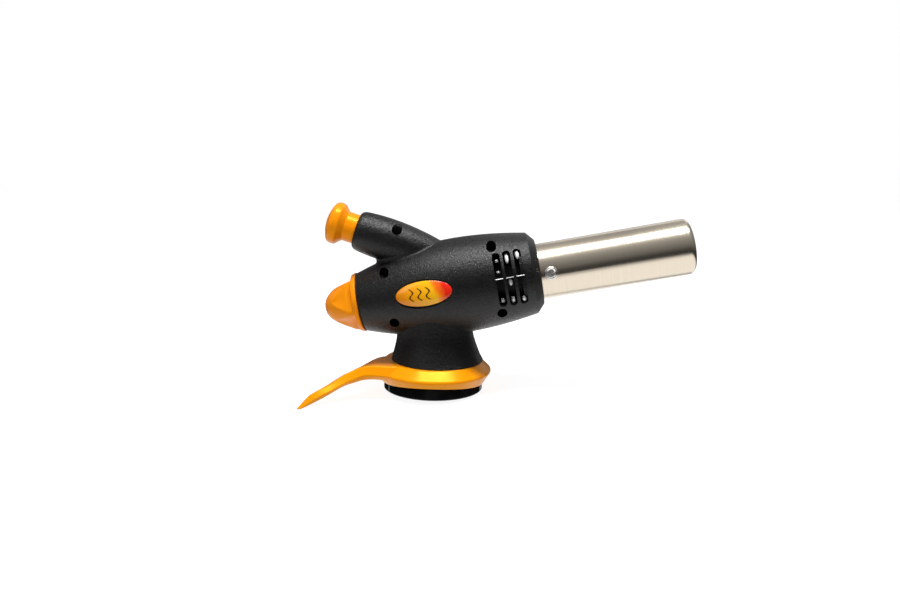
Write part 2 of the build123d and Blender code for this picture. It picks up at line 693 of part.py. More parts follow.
# ---------------------------------------------------------------- gas valve
NEEDLE_RADIUS = 2.0
NEEDLE_STEM_RADIUS = 1.55
SPINDLE_RADIUS = 3.0
RUNNING = 0.05
SEAT_STATION = 5.0
SPINDLE_LENGTH = 37.0
JET_THREAD_RADIUS = 2.5
ORIFICE_RADIUS = 0.6
GLAND_LENGTH = 7.0
SEAL_CORD_RADIUS = 0.75
SEAL_GROOVE_RADIUS = 4.6
with BuildPart() as valve_body:
    with BuildSketch(body_station(VALVE_REAR)):
        Circle(VALVE_RADIUS)
    extrude(amount=VALVE_FRONT - VALVE_REAR)
    with BuildSketch(body_station(VALVE_FRONT - 4)):
        RegularPolygon(VALVE_RADIUS - 0.1, 6)
    extrude(amount=7)
    with BuildSketch(Plane.XY.offset(INLET_BOTTOM)):
        Circle(INLET_RADIUS)
    extrude(amount=BODY_HEIGHT - INLET_BOTTOM)
    with BuildSketch(body_station(VALVE_REAR)):
        Circle(NEEDLE_RADIUS)
    extrude(amount=SEAT_STATION - 2 - VALVE_REAR, mode=Mode.SUBTRACT)
    with BuildSketch(body_profile):
        with BuildLine():
            Polyline(
                (SEAT_STATION - 2, 0), (SEAT_STATION - 2, NEEDLE_RADIUS),
                (SEAT_STATION + 0.6, ORIFICE_RADIUS),
                (SEAT_STATION + 0.6, 0), close=True,
            )
        make_face()
    revolve(axis=body_axis, mode=Mode.SUBTRACT)
    with BuildSketch(body_station(0)):
        Circle(ORIFICE_RADIUS)
    extrude(amount=BEYOND, mode=Mode.SUBTRACT)
    with BuildSketch(body_station(VALVE_FRONT - 3)):
        Circle(JET_THREAD_RADIUS)
    extrude(amount=BEYOND, mode=Mode.SUBTRACT)
    with BuildSketch(Plane.XY.offset(INLET_BOTTOM)):
        Circle(PIPE_RADIUS)
    extrude(amount=PIPE_TOP - INLET_BOTTOM, mode=Mode.SUBTRACT)
    with BuildSketch(Plane.XY.offset(INLET_BOTTOM)):
        Circle(GAS_WAY_RADIUS)
    extrude(amount=BODY_HEIGHT - INLET_BOTTOM, mode=Mode.SUBTRACT)
finish(valve_body, "valve_body")

JET_HEX = VALVE_FRONT + 3.0
with BuildPart() as gas_jet:
    with BuildSketch(body_station(VALVE_FRONT - 3)):
        Circle(JET_THREAD_RADIUS)
    extrude(amount=6)
    with BuildSketch(body_station(JET_HEX)):
        RegularPolygon(4.0, 6)
    extrude(amount=2.4)
    with BuildSketch(body_station(JET_HEX + 2.4)):
        Circle(2.2)
    extrude(amount=3.0, taper=14)
    with BuildSketch(body_station(VALVE_FRONT - 4)):
        Circle(0.4)
    extrude(amount=20, mode=Mode.SUBTRACT)
finish(gas_jet, "gas_jet")

SPINDLE_FRONT = -13.3
with BuildPart() as valve_needle:
    with BuildSketch(body_profile):
        with BuildLine():
            Polyline(
                (-20.0, 0),
                (-20.0, NEEDLE_STEM_RADIUS),
                (-11.6, NEEDLE_STEM_RADIUS),
                (-11.6, NEEDLE_RADIUS - RUNNING),
                (SEAT_STATION - 2.1, NEEDLE_RADIUS - RUNNING),
                (SEAT_STATION + 0.3, 0.62),
                (SEAT_STATION + 0.3, 0),
                close=True,
            )
        make_face()
    revolve(axis=body_axis)
finish(valve_needle, "valve_needle")

with BuildPart() as valve_spindle:
    with BuildSketch(body_station(SPINDLE_FRONT)):
        Circle(SPINDLE_RADIUS)
    extrude(amount=-SPINDLE_LENGTH)
    with BuildSketch(body_station(SPINDLE_FRONT)):
        Circle(NEEDLE_STEM_RADIUS + RUNNING)
    extrude(amount=-9, mode=Mode.SUBTRACT)
    with BuildSketch(body_station(SPINDLE_FRONT - SPINDLE_LENGTH)):
        with Locations((0, SPINDLE_RADIUS + 2.2)):
            Rectangle(8, 6)
    extrude(amount=9, mode=Mode.SUBTRACT)
finish(valve_spindle, "valve_spindle")

with BuildPart() as gland_nut:
    with BuildSketch(body_station(VALVE_REAR)):
        RegularPolygon(6.2, 6)
    extrude(amount=-GLAND_LENGTH)
    with BuildSketch(body_station(VALVE_REAR)):
        Circle(SPINDLE_RADIUS + RUNNING)
    extrude(amount=-BEYOND, mode=Mode.SUBTRACT)
    with BuildSketch(body_station(VALVE_REAR)):
        Circle(SEAL_GROOVE_RADIUS)
    extrude(amount=-2, mode=Mode.SUBTRACT)
finish(gland_nut, "gland_nut")

with BuildPart() as spindle_seal:
    with BuildSketch(body_profile):
        with Locations((VALVE_REAR - 1.0, SPINDLE_RADIUS + RUNNING + SEAL_CORD_RADIUS)):
            Circle(SEAL_CORD_RADIUS)
    revolve(axis=body_axis)
finish(spindle_seal, "spindle_seal")

knob_outline = [
    (-41.4, 15.0), (-44.6, 13.9), (-47.6, 12.1), (-51.0, 10.0), (-53.9, 8.1), (-56.3, 6.0),
]
SCALLOPS = 5
SCALLOP_ANGLE = 180 - 22
with BuildPart() as valve_knob:
    with BuildSketch(body_profile):
        with BuildLine():
            Line((KNOB_START, 0), (KNOB_START, 15.5))
            Line((KNOB_START, 15.5), knob_outline[0])
            Spline(*knob_outline, (KNOB_TIP, 0), tangents=((-1, -0.28), (0, -1)))
            Line((KNOB_TIP, 0), (KNOB_START, 0))
        make_face()
    revolve(axis=body_axis)
    for scallop in range(SCALLOPS):
        angle = SCALLOP_ANGLE + 360 / SCALLOPS * scallop
        across = body_station(0)
        outward = across.x_dir * cos(radians(angle)) + across.y_dir * sin(radians(angle))
        side = Plane(origin=across.origin, x_dir=body_direction, z_dir=body_direction.cross(outward))
        with BuildSketch(side):
            with BuildLine():
                Line((-58.0, 7.6), (-45.0, 11.6))
                RadiusArc((-45.0, 11.6), (-42.1, 14.4), 3.6)
                Polyline((-42.1, 14.4), (-41.8, 20.0), (-58.0, 20.0), (-58.0, 7.6))
            make_face()
        extrude(amount=14, both=True, mode=Mode.SUBTRACT)
    with BuildSketch(body_station(KNOB_START)):
        Circle(11.0)
        Circle(6.0, mode=Mode.SUBTRACT)
    extrude(amount=-6.5, mode=Mode.SUBTRACT)
    with BuildSketch(body_station(KNOB_START)):
        Circle(SPINDLE_RADIUS)
    extrude(amount=SPINDLE_FRONT - SPINDLE_LENGTH - KNOB_START, mode=Mode.SUBTRACT)
finish(valve_knob, "valve_knob")

# ---------------------------------------------------------------- gas inlet
with BuildPart() as cartridge_connector:
    with BuildSketch(Plane.XY.offset(PLATE_TOP)):
        Circle(CONNECTOR_FLANGE)
    extrude(amount=CONNECTOR_TOP - PLATE_TOP)
    with BuildSketch(Plane.XY.offset(CONNECTOR_BOTTOM)):
        Circle(CONNECTOR_RADIUS)
    extrude(amount=PLATE_TOP - CONNECTOR_BOTTOM)
    fillet(cartridge_connector.faces().sort_by(Axis.Z)[0].edges(), 0.6)
    with BuildSketch(Plane.XY.offset(CONNECTOR_BOTTOM)):
        Circle(STEM_SEAL_RADIUS)
    extrude(amount=2.4, mode=Mode.SUBTRACT)
    with BuildSketch(Plane.XY.offset(CONNECTOR_BOTTOM)):
        Circle(2.1)
    extrude(amount=4.6, mode=Mode.SUBTRACT)
    with BuildSketch(Plane.XY.offset(CONNECTOR_BOTTOM)):
        Circle(GAS_WAY_RADIUS)
    extrude(amount=12, mode=Mode.SUBTRACT)
finish(cartridge_connector, "cartridge_connector")

with BuildPart() as connector_seal:
    with BuildSketch(Plane.XY.offset(3.6)):
        Circle(STEM_SEAL_RADIUS)
        Circle(2.0, mode=Mode.SUBTRACT)
    extrude(amount=2.2)
finish(connector_seal, "connector_seal")

with BuildPart() as gas_pipe:
    with BuildSketch(Plane.XY.offset(CONNECTOR_TOP)):
        Circle(PIPE_RADIUS)
        Circle(GAS_WAY_RADIUS, mode=Mode.SUBTRACT)
    extrude(amount=PIPE_TOP - CONNECTOR_TOP)
finish(gas_pipe, "gas_pipe")

# ---------------------------------------------------------------- socket and lock ring
LIP_TOP = 2.2
GROOVE_RADIUS = 23.9
SKIRT_BORE = BASE_RADIUS + 0.3
with BuildPart() as base_ring:
    with BuildSketch(Plane.XZ):
        with BuildLine():
            Polyline(
                (SOCKET_RADIUS, 0),
                (BASE_RADIUS, 0),
                (BASE_RADIUS, PLATE_BOTTOM),
                (GROOVE_RADIUS, PLATE_BOTTOM),
                (GROOVE_RADIUS, LIP_TOP),
                (SOCKET_RADIUS, LIP_TOP),
                close=True,
            )
        make_face()
    revolve(axis=Axis.Z)
    fillet(base_ring.faces().sort_by(Axis.Z)[0].edges().sort_by(SortBy.LENGTH)[-1], 0.5)
finish(base_ring, "base_ring")

TAB_INNER = 23.1
TAB_OUTER = 23.7
TAB_HALF_ANGLE = 4.0
CLAW_HALF_ANGLE = 9.0
CLAW_INNER = 20.8
CLAW_THICKNESS = 1.0
KEY_SECTOR = (19.6, 22.2, 54.0, 66.0)
tab_angles = [40, 160, 280]
claw_angles = [0, 120, 240]


def sector(inner, outer, start, end):
    """A flat piece of a ring, drawn between two angles about the origin."""
    with BuildSketch() as piece:
        with BuildLine():
            Line(Vector(inner, 0).rotate(Axis.Z, start), Vector(outer, 0).rotate(Axis.Z, start))
            CenterArc((0, 0), outer, start, end - start)
            Line(Vector(outer, 0).rotate(Axis.Z, end), Vector(inner, 0).rotate(Axis.Z, end))
            CenterArc((0, 0), inner, start, end - start)
        make_face()
    return piece.sketch


with BuildPart() as base_plate:
    with BuildSketch(Plane.XY.offset(PLATE_BOTTOM)):
        Circle(BASE_RADIUS)
        Circle(CONNECTOR_RADIUS, mode=Mode.SUBTRACT)
        with Locations(*hub_screw_places):
            Circle(HUB_PILOT_RADIUS + 0.15, mode=Mode.SUBTRACT)
        for tab in tab_angles:
            start = tab - TAB_HALF_ANGLE - 1 + LOCK_TRAVEL[0]
            end = tab + TAB_HALF_ANGLE + 1 + LOCK_TRAVEL[1]
            add(sector(TAB_INNER - 0.2, TAB_OUTER + 0.15, start, end), mode=Mode.SUBTRACT)
    extrude(amount=PLATE_TOP - PLATE_BOTTOM)
    # The key that drops into the notch in the cartridge's collar.
    with BuildSketch(Plane.XY.offset(PLATE_BOTTOM)):
        add(sector(*KEY_SECTOR))
    extrude(amount=LIP_TOP + 0.2 - PLATE_BOTTOM)
finish(base_plate, "base_plate")

PLATE_SCREW_HEAD = 2.4
PLATE_SCREW_HEIGHT = 1.7
with BuildPart() as plate_screws:
    with BuildSketch(Plane.XY.offset(PLATE_BOTTOM)):
        with Locations(*hub_screw_places):
            Circle(PLATE_SCREW_HEAD)
    extrude(amount=-PLATE_SCREW_HEIGHT)
    fillet(plate_screws.edges().group_by(Axis.Z)[0], 0.6)
    with BuildSketch(Plane.XY.offset(PLATE_BOTTOM - PLATE_SCREW_HEIGHT)):
        with Locations(*hub_screw_places):
            Rectangle(RECESS_LENGTH, RECESS_WIDTH)
            Rectangle(RECESS_WIDTH, RECESS_LENGTH)
    extrude(amount=RECESS_DEPTH, mode=Mode.SUBTRACT)
    with BuildSketch(Plane.XY.offset(PLATE_BOTTOM)):
        with Locations(*hub_screw_places):
            Circle(HUB_PILOT_RADIUS)
    extrude(amount=10)
finish(plate_screws, "plate_screws")

CLAW_BOTTOM = 2.4
TAB_TOP = 10.2
with BuildPart() as claw_ring:
    with BuildSketch(Plane.XY.offset(CLAW_BOTTOM)):
        Circle(TAB_OUTER)
        Circle(TAB_INNER, mode=Mode.SUBTRACT)
        for claw in claw_angles:
            add(sector(CLAW_INNER, TAB_INNER + 0.2, claw - CLAW_HALF_ANGLE, claw + CLAW_HALF_ANGLE))
    extrude(amount=CLAW_THICKNESS)
    with BuildSketch(Plane.XY.offset(CLAW_BOTTOM + CLAW_THICKNESS)):
        for tab in tab_angles:
            add(sector(TAB_INNER, TAB_OUTER, tab - TAB_HALF_ANGLE, tab + TAB_HALF_ANGLE))
    extrude(amount=TAB_TOP - CLAW_BOTTOM - CLAW_THICKNESS)
finish(claw_ring, "claw_ring")

# The lever bends towards -Y as it runs out, and droops below the lock ring.
LEVER_ROOT = 24.0
LEVER_LENGTH = 49.5
LEVER_TURN = 20.0
lever_sections = [
    # station, half widths at crease, top and bottom, then the heights of the near and
    # far top edges, of the crease and of the bottom, and the radius of the edges
    (-2.0, 14.0, 12.0, 11.0, 15.3, 15.0, 10.0, 6.6, 0.8),
    (2.0, 14.0, 11.5, 10.5, 15.3, 14.8, 10.2, 6.9, 0.8),
    (6.0, 12.0, 9.5, 9.0, 15.3, 14.2, 10.4, 7.8, 0.8),
    (10.0, 10.0, 7.5, 7.5, 15.3, 13.0, 10.6, 8.1, 0.8),
    (14.0, 8.0, 5.5, 6.0, 14.9, 11.8, 10.7, 7.9, 0.8),
    (20.0, 6.0, 3.4, 4.4, 13.0, 10.2, 9.1, 6.5, 0.7),
    (28.0, 5.0, 2.2, 3.4, 8.9, 7.0, 6.0, 4.0, 0.6),
    (36.0, 4.2, 1.7, 2.7, 5.0, 3.4, 2.7, 0.2, 0.5),
    (44.0, 2.8, 1.0, 1.7, 1.2, 0.4, -0.9, -2.8, 0.35),
    (48.0, 1.4, 0.5, 0.8, -2.4, -3.0, -3.4, -4.2, 0.15),
    (49.5, 0.8, 0.3, 0.4, -3.4, -3.6, -3.9, -4.4, 0.08),
]


def lever_plane(station):
    """The upright plane across the lever: local x points towards -Y's side, y is up."""
    bend_radius = LEVER_LENGTH / radians(LEVER_TURN)
    start = radians(LEVER_AZIMUTH)
    heading = radians(LEVER_AZIMUTH + LEVER_TURN * station / LEVER_LENGTH)
    x = -LEVER_ROOT * cos(start) - bend_radius * (sin(heading) - sin(start))
    y = -LEVER_ROOT * sin(start) - bend_radius * (cos(start) - cos(heading))
    outward = Vector(-cos(heading), -sin(heading), 0)
    return Plane(origin=(x, y, 0), x_dir=Vector(sin(heading), -cos(heading), 0), z_dir=outward)


ARCH_TOP = 7.0
ARCH_RADIUS = 122.0
SKIRT_CEILING = PLATE_TOP + 0.2
HUB_BORE = HUB_RADIUS + 0.1
with BuildPart() as lock_lever:
    with BuildSketch(Plane.XZ) as ring_profile:
        with BuildLine():
            Polyline(
                (HUB_BORE, SKIRT_CEILING),
                (SKIRT_BORE, SKIRT_CEILING),
                (SKIRT_BORE, 4.2),
                (SKIRT_BORE + 0.6, 4.2),
                (RING_CREASE_RADIUS, 10.5),
                (25.6, RING_TOP),
                (HUB_BORE, RING_TOP),
                close=True,
            )
        make_face()
        fillet(ring_profile.vertices().sort_by(Axis.X)[-1], RING_CREASE_ROUND)
        fillet(ring_profile.vertices().group_by(Axis.Y)[-1].sort_by(Axis.X)[-1], RING_TOP_ROUND)
    revolve(axis=Axis.Z)
    # The skirt's lower edge is arched at the front and the back.
    with BuildSketch(Plane.XZ):
        with Locations((0, ARCH_TOP - ARCH_RADIUS)):
            Circle(ARCH_RADIUS)
    extrude(amount=40, both=True, mode=Mode.SUBTRACT)
    for station, crease_half, top_half, bottom_half, near, far, crease, bottom, edge in lever_sections:
        with BuildSketch(lever_plane(station)) as lever_section:
            with BuildLine():
                Polyline(
                    (-bottom_half, bottom), (bottom_half, bottom), (crease_half, crease),
                    (top_half, near), (-top_half, far), (-crease_half, crease), close=True,
                )
            make_face()
            fillet(lever_section.vertices(), edge)
    loft()
    with BuildSketch(Plane.XY):
        Circle(HUB_BORE)
    extrude(amount=20, mode=Mode.SUBTRACT)
    with BuildSketch(Plane.XY):
        Circle(SKIRT_BORE)
    extrude(amount=SKIRT_CEILING, mode=Mode.SUBTRACT)
    for tab in tab_angles:
        with BuildSketch(Plane.XY.offset(PLATE_TOP)):
            reach = TAB_HALF_ANGLE + 0.6
            add(sector(TAB_INNER - 0.2, TAB_OUTER + 0.2, tab - reach, tab + reach))
        extrude(amount=2.0, mode=Mode.SUBTRACT)
finish(lock_lever, "lock_lever")

print("lead bend radius", round(LEAD_BEND, 2), "turn", round(lead_turn, 1))
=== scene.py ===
import json
from math import atan2, cos, pi, radians, sin

import bpy
from mathutils import Matrix, Vector


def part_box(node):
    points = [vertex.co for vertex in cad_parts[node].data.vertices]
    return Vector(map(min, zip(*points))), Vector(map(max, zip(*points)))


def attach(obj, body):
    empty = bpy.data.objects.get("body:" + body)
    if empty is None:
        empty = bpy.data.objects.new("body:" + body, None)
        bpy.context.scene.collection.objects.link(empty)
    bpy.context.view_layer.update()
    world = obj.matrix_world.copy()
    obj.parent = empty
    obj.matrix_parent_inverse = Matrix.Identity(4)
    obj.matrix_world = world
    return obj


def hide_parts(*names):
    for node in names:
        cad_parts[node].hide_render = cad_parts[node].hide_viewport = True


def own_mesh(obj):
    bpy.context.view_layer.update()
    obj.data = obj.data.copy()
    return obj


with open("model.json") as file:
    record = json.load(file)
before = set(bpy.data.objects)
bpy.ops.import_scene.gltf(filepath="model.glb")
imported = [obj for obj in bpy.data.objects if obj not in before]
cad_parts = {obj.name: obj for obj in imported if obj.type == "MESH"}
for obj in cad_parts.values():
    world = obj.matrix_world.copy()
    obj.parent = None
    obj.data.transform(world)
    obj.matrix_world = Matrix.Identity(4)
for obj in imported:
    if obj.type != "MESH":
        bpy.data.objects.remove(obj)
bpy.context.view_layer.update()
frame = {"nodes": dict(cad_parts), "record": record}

MM = 0.001
BODY_TILT = radians(11.5)
BODY_HEIGHT = 0.0525
POD_DROP = radians(16.8)
BODY_AXIS = Vector((cos(BODY_TILT), 0, sin(BODY_TILT)))
BODY_UP = Vector((-sin(BODY_TILT), 0, cos(BODY_TILT)))
POD_MOUTH = Vector((-0.0404, 0, 0.0824))
POD_AXIS = Vector((cos(POD_DROP), 0, -sin(POD_DROP)))
BADGE_STATION = -0.0038
BADGE_RISE = 0.0023
BADGE_HALF_LENGTH = 0.0144
BADGE_HALF_HEIGHT = 0.0062
HEAT_MARKS = 3
HEAT_MARK_START = -0.0062    # the first wave, along the badge from its centre
HEAT_MARK_PITCH = 0.0042
HEAT_MARK_SWING = 0.0009
HEAT_MARK_TURNS = 1300       # how fast a wave swings, in radians per metre of height
HEAT_MARK_HALF_LINE = (0.00032, 0.00056)     # where a stroke starts and ends its fade
HEAT_MARK_HALF_HEIGHT = (0.0029, 0.0034)
# The rim's dark band is painted shade: the gap round the badge, drawn into its colour.
RIM_PAINTED_SHADE = (0.955, 1.0)       # share of the oval's size, squared, over which the rim darkens
PRINT_TONES = [              # place along the badge from its rear end, and colour
    (0.0, (0.72, 0.20, 0.004)),
    (0.25, (0.90, 0.34, 0.004)),
    (0.66, (1.00, 0.50, 0.004)),
    (0.76, (0.95, 0.17, 0.006)),
    (0.88, (0.80, 0.02, 0.006)),
]
INK = (0.03, 0.006, 0.003)
INK_STRENGTH = 0.95
PRINT_SLANT = 0.35
PRINT_WOBBLE = 0.0008

# The camera's place, in the object's own frame: low, and nearly square to the right side.
CAMERA_PLACE = Vector((0.02283, -0.38574, 0.11689))
CAMERA_HEADING = radians(2.2)
CAMERA_ELEVATION = radians(10.25)
CAMERA_ROLL = radians(1.33)
CAMERA_LENS = 30.0
CAMERA_SENSOR_WIDTH = 36.0


def body_point(along, across, up):
    """A point given along the body axis from over the socket, sideways and upwards."""
    return Vector((0, across, BODY_HEIGHT)) + BODY_AXIS * along + BODY_UP * up


# ---------------------------------------------------------------- node helpers
class Finish:
    """One procedural material: a Principled shader and short ways to build what feeds it."""

    def __init__(self, name, color, roughness, metallic=0.0):
        self.material = bpy.data.materials.new(name)
        self.material.use_nodes = True
        self.tree = self.material.node_tree
        self.shader = self.tree.nodes["Principled BSDF"]
        self.shader.inputs["Base Color"].default_value = (*color, 1)
        self.shader.inputs["Roughness"].default_value = roughness
        self.shader.inputs["Metallic"].default_value = metallic
        self.color = color
        self.roughness = roughness
        self.place = self.node("ShaderNodeTexCoord").outputs["Object"]

    def node(self, kind, **settings):
        made = self.tree.nodes.new(kind)
        for key, value in settings.items():
            setattr(made, key, value)
        return made

    def link(self, out, into):
        self.tree.links.new(out, into)

    def set(self, **values):
        for key, value in values.items():
            self.shader.inputs[key.replace("_", " ")].default_value = value

    def mapped(self, scale=(1, 1, 1), turn=(0, 0, 0)):
        """The row frame's coordinates, turned and stretched."""
        mapping = self.node("ShaderNodeMapping", vector_type="POINT")
        mapping.inputs["Scale"].default_value = scale
        mapping.inputs["Rotation"].default_value = turn
        self.link(self.place, mapping.inputs["Vector"])
        return mapping.outputs["Vector"]

    def noise(self, scale, detail=2.0, vector=None, roughness=0.5):
        made = self.node("ShaderNodeTexNoise")
        made.inputs["Scale"].default_value = scale
        made.inputs["Detail"].default_value = detail
        made.inputs["Roughness"].default_value = roughness
        self.link(vector or self.place, made.inputs["Vector"])
        return made.outputs["Fac"]

    def remap(self, value, low, high, start=0.3, end=0.7):
        made = self.node("ShaderNodeMapRange")
        made.inputs["From Min"].default_value = start
        made.inputs["From Max"].default_value = end
        made.inputs["To Min"].default_value = low
        made.inputs["To Max"].default_value = high
        self.link(value, made.inputs["Value"])
        return made.outputs["Result"]

    def math(self, operation, first, second):
        made = self.node("ShaderNodeMath", operation=operation)
        for index, value in enumerate((first, second)):
            if isinstance(value, (int, float)):
                made.inputs[index].default_value = value
            else:
                self.link(value, made.inputs[index])
        return made.outputs["Value"]

    def tones(self, value, stops):
        """A colour ramp; stops are (position, (r, g, b))."""
        made = self.node("ShaderNodeValToRGB")
        ramp = made.color_ramp
        while len(ramp.elements) < len(stops):
            ramp.elements.new(0.5)
        for element, (position, color) in zip(ramp.elements, stops):
            element.position = position
            element.color = (*color, 1)
        self.link(value, made.inputs["Fac"])
        return made.outputs["Color"]

    def vary_color(self, value, spread):
        dark = tuple(c * (1 - spread) for c in self.color)
        light = tuple(min(1, c * (1 + spread)) for c in self.color)
        self.link(self.tones(value, [(0.3, dark), (0.7, light)]), self.shader.inputs["Base Color"])

    def vary_roughness(self, value, spread):
        low, high = self.roughness - spread, self.roughness + spread
        self.link(self.remap(value, low, high), self.shader.inputs["Roughness"])

    def bump(self, height, depth):
        made = self.node("ShaderNodeBump")
        made.inputs["Distance"].default_value = depth
        self.link(height, made.inputs["Height"])
        self.link(made.outputs["Normal"], self.shader.inputs["Normal"])


# ---------------------------------------------------------------- finishes
# How many grains in a metre, along each axis: fine across the marks and long with them.
BRUSH_MARKS = (5000, 40, 40)
TOOL_MARKS = (5000, 300, 300)


def grained_plastic(name, color, roughness, grain_size, depth):
    """Black moulding with a spark-eroded skin: fine rounded grains and faint patches."""
    finish = Finish(name, color, roughness)
    finish.set(Specular_IOR_Level=0.36)
    grain = finish.noise(scale=1 / grain_size, detail=3, roughness=0.6)
    coarse = finish.noise(scale=0.3 / grain_size, detail=2)
    height = finish.math("ADD", grain, finish.math("MULTIPLY", coarse, 0.5))
    finish.bump(height, depth)
    specks = finish.remap(grain, 0, 1, 0.60, 0.72)
    patches = finish.noise(scale=90, detail=4)
    shade = finish.math("ADD", finish.math("MULTIPLY", patches, 0.5), specks)
    finish.vary_color(finish.math("MULTIPLY", shade, 0.8), spread=0.35)
    finish.vary_roughness(finish.noise(scale=0.6 / grain_size, detail=1), spread=0.1)
    return finish.material


def satin_plastic(name, color, roughness):
    """Orange moulding: a little light gets in, with faint flow marks and a very fine skin."""
    finish = Finish(name, color, roughness)
    finish.set(Subsurface_Weight=0.08, Subsurface_Scale=0.0015)
    finish.shader.inputs["Subsurface Radius"].default_value = (1.0, 0.45, 0.1)
    finish.set(Specular_IOR_Level=0.7, Specular_Tint=(1.0, 0.66, 0.05, 1))
    finish.vary_color(finish.noise(scale=40, detail=2), spread=0.03)
    finish.vary_roughness(finish.noise(scale=160, detail=2), spread=0.03)
    finish.bump(finish.noise(scale=1800, detail=1), depth=0.000004)
    return finish.material


def gloss_plastic(name, color):
    """Polished black moulding with faint handling marks."""
    finish = Finish(name, color, 0.09)
    finish.set(Coat_Weight=0.5, Coat_Roughness=0.04)
    finish.vary_roughness(finish.noise(scale=130, detail=5), spread=0.05)
    finish.vary_color(finish.noise(scale=60), spread=0.1)
    finish.bump(finish.noise(scale=35, detail=1), depth=0.00002)
    return finish.material


def brushed_tube(name, color, roughness):
    """Straw-coloured stainless steel, finely brushed round the body axis."""
    finish = Finish(name, color, roughness, metallic=1.0)
    finish.set(Anisotropic=0.3)
    turned = finish.mapped(turn=(0, BODY_TILT, 0))
    stretch = finish.node("ShaderNodeMapping", vector_type="POINT")
    stretch.inputs["Scale"].default_value = BRUSH_MARKS
    finish.link(turned, stretch.inputs["Vector"])
    scratches = finish.noise(scale=1, detail=3, vector=stretch.outputs["Vector"], roughness=0.65)
    finish.vary_roughness(scratches, spread=0.012)
    finish.bump(scratches, depth=0.00000001)
    finish.vary_color(scratches, spread=0.04)
    return finish.material


def turned_metal(name, color, roughness):
    """Machined or plated metal: fine tool marks, slight dulling in patches."""
    finish = Finish(name, color, roughness, metallic=1.0)
    marks = finish.noise(scale=1, detail=2, vector=finish.mapped(scale=TOOL_MARKS))
    finish.bump(marks, depth=0.000004)
    finish.vary_roughness(finish.noise(scale=400, detail=4), spread=0.08)
    finish.vary_color(finish.noise(scale=150, detail=4), spread=0.1)
    return finish.material


def painted_glint_steel(name, color, roughness):
    """Near-white, half-matt metal for the vent tabs and wire: its brightness is a painted glint
    behind the vent slots.
    """
    finish = Finish(name, color, roughness, metallic=0.3)
    finish.bump(finish.noise(scale=900, detail=3), depth=0.00002)
    finish.vary_roughness(finish.noise(scale=500, detail=3), spread=0.1)
    finish.vary_color(finish.noise(scale=300, detail=3), spread=0.08)
    return finish.material


def cast_metal(name, color, roughness):
    finish = Finish(name, color, roughness, metallic=1.0)
    finish.bump(finish.noise(scale=2200, detail=4), depth=0.00003)
    finish.vary_roughness(finish.noise(scale=300, detail=3), spread=0.1)
    finish.vary_color(finish.noise(scale=120, detail=4), spread=0.12)
    return finish.material


def soft_rubber(name, color):
    finish = Finish(name, color, 0.6)
    finish.bump(finish.noise(scale=1800, detail=3), depth=0.00001)
    finish.vary_roughness(finish.noise(scale=500, detail=3), spread=0.1)
    finish.vary_color(finish.noise(scale=200, detail=3), spread=0.12)
    return finish.material


def glazed_ceramic(name, color):
    finish = Finish(name, color, 0.18)
    finish.set(Subsurface_Weight=0.1, Subsurface_Scale=0.001)
    finish.bump(finish.noise(scale=700, detail=2), depth=0.000008)
    finish.vary_roughness(finish.noise(scale=250, detail=3), spread=0.05)
    finish.vary_color(finish.noise(scale=300, detail=4), spread=0.04)
    return finish.material


def badge_print(name):
    """The oval badge's print: amber to yellow, red at the front end, and three heat waves; its dark
    rim is painted shade of the gap round the badge.
    """
    finish = Finish(name, (0.95, 0.5, 0.04), 0.12)
    finish.set(Coat_Weight=0.3, Coat_Roughness=0.04, Specular_IOR_Level=0.3)
    axes = finish.node("ShaderNodeSeparateXYZ")
    finish.link(finish.mapped(turn=(0, BODY_TILT, 0)), axes.inputs["Vector"])
    centre = body_point(BADGE_STATION, 0, 0)
    centre_along = centre.dot(BODY_AXIS)
    centre_up = centre.dot(BODY_UP) + BADGE_RISE
    along = finish.math("SUBTRACT", axes.outputs["X"], centre_along)
    up = finish.math("SUBTRACT", axes.outputs["Z"], centre_up)
    wobble = finish.remap(finish.noise(scale=260, detail=3), -PRINT_WOBBLE, PRINT_WOBBLE)
    lean = finish.math("MULTIPLY", up, PRINT_SLANT)
    slant = finish.math("ADD", finish.math("ADD", along, wobble), lean)
    fraction = finish.remap(slant, 0, 1, -BADGE_HALF_LENGTH, BADGE_HALF_LENGTH)
    ground = finish.tones(fraction, PRINT_TONES)
    ink_and_gap_shade = None
    for wave in range(HEAT_MARKS):
        start = HEAT_MARK_START + wave * HEAT_MARK_PITCH
        turns = finish.math("SINE", finish.math("MULTIPLY", up, HEAT_MARK_TURNS), 0)
        swing = finish.math("MULTIPLY", turns, HEAT_MARK_SWING)
        beside = finish.math("SUBTRACT", finish.math("SUBTRACT", along, start), swing)
        line = finish.remap(finish.math("ABSOLUTE", beside, 0), 1, 0, *HEAT_MARK_HALF_LINE)
        height = finish.remap(finish.math("ABSOLUTE", up, 0), 1, 0, *HEAT_MARK_HALF_HEIGHT)
        stroke = finish.math("MULTIPLY", line, height)
        ink_and_gap_shade = stroke if ink_and_gap_shade is None else finish.math("MAXIMUM", ink_and_gap_shade, stroke)
    # The dark rim is painted shade of the gap round the badge, mixed in with the printed heat
    # waves.
    end_share = finish.math("POWER", finish.math("DIVIDE", along, BADGE_HALF_LENGTH), 2)
    side_share = finish.math("POWER", finish.math("DIVIDE", up, BADGE_HALF_HEIGHT), 2)
    rim = finish.math("ADD", end_share, side_share)
    ink_and_gap_shade = finish.math("MAXIMUM", ink_and_gap_shade, finish.remap(rim, 0, 1, *RIM_PAINTED_SHADE))
    print_mix = finish.node("ShaderNodeMix", data_type="RGBA")
    finish.link(finish.math("MULTIPLY", ink_and_gap_shade, INK_STRENGTH), print_mix.inputs["Factor"])
    finish.link(ground, print_mix.inputs["A"])
    print_mix.inputs["B"].default_value = (*INK, 1)
    finish.link(print_mix.outputs["Result"], finish.shader.inputs["Base Color"])
    finish.vary_roughness(finish.noise(scale=400, detail=2), spread=0.04)
    return finish.material


